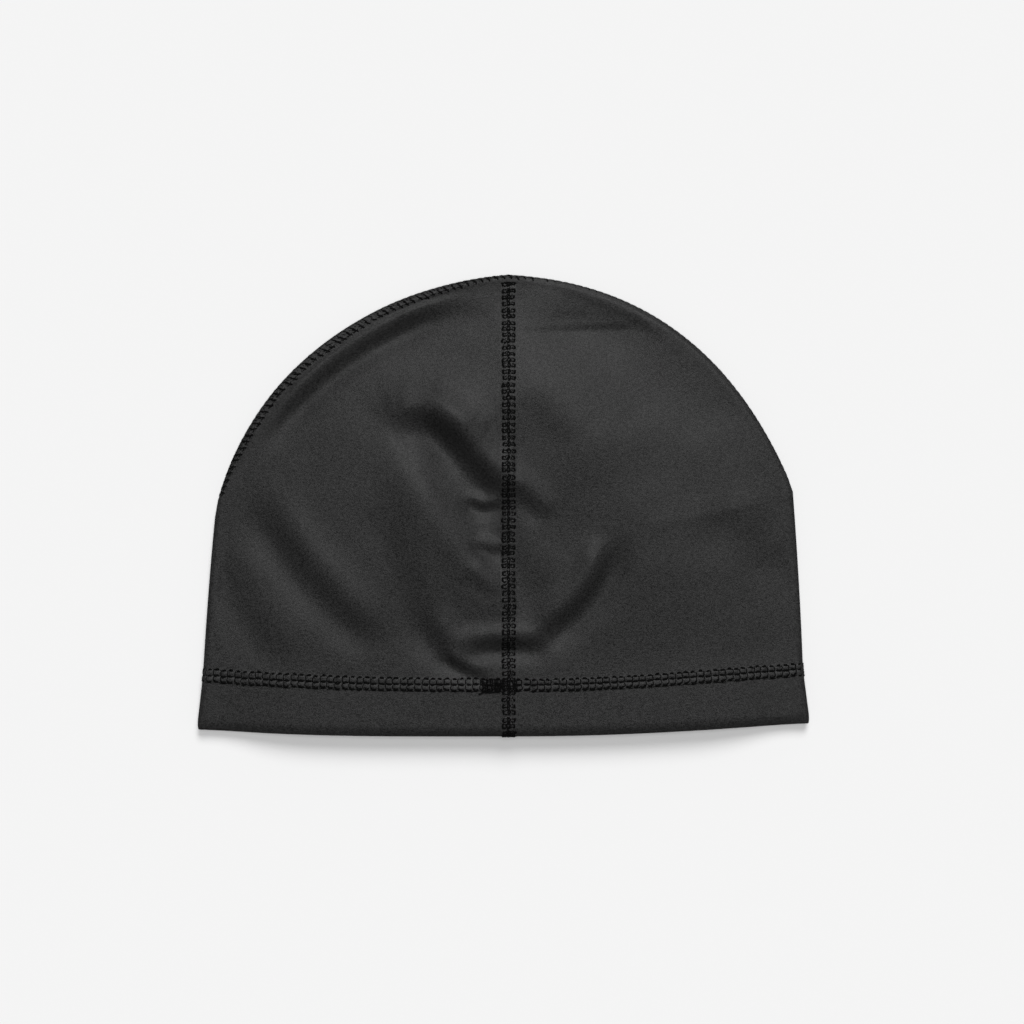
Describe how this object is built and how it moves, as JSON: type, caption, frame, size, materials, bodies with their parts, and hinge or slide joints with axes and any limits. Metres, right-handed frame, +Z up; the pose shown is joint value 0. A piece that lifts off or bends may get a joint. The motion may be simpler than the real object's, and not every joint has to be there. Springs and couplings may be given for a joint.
{
  "type": "beanie",
  "caption": "Close-fitting stretch jersey beanie lying flat, hollow and open at its turned-up hem, with flat seams up the middle and over the crown.",
  "frame": {"origin": "middle of the footprint, on the surface that the cap lies on", "axes": "+X to the right as the upper (back) side is seen, +Y from the hem towards the crown, +Z up out of the surface it lies on"},
  "size_m": [0.2596, 0.1952, 0.0218],
  "materials": {
    "jersey": "brushed charcoal jersey, matt",
    "hem_jersey": "the same jersey turned up double, matt",
    "seam_thread": "black stretch thread, slight sheen"
  },
  "bodies": {
    "root": {"left_panel": "jersey", "right_panel": "jersey", "left_hem": "hem_jersey", "right_hem": "hem_jersey", "back_seam": "seam_thread", "front_seam": "seam_thread", "crown_seam": "seam_thread"}
  },
  "joints": []
}
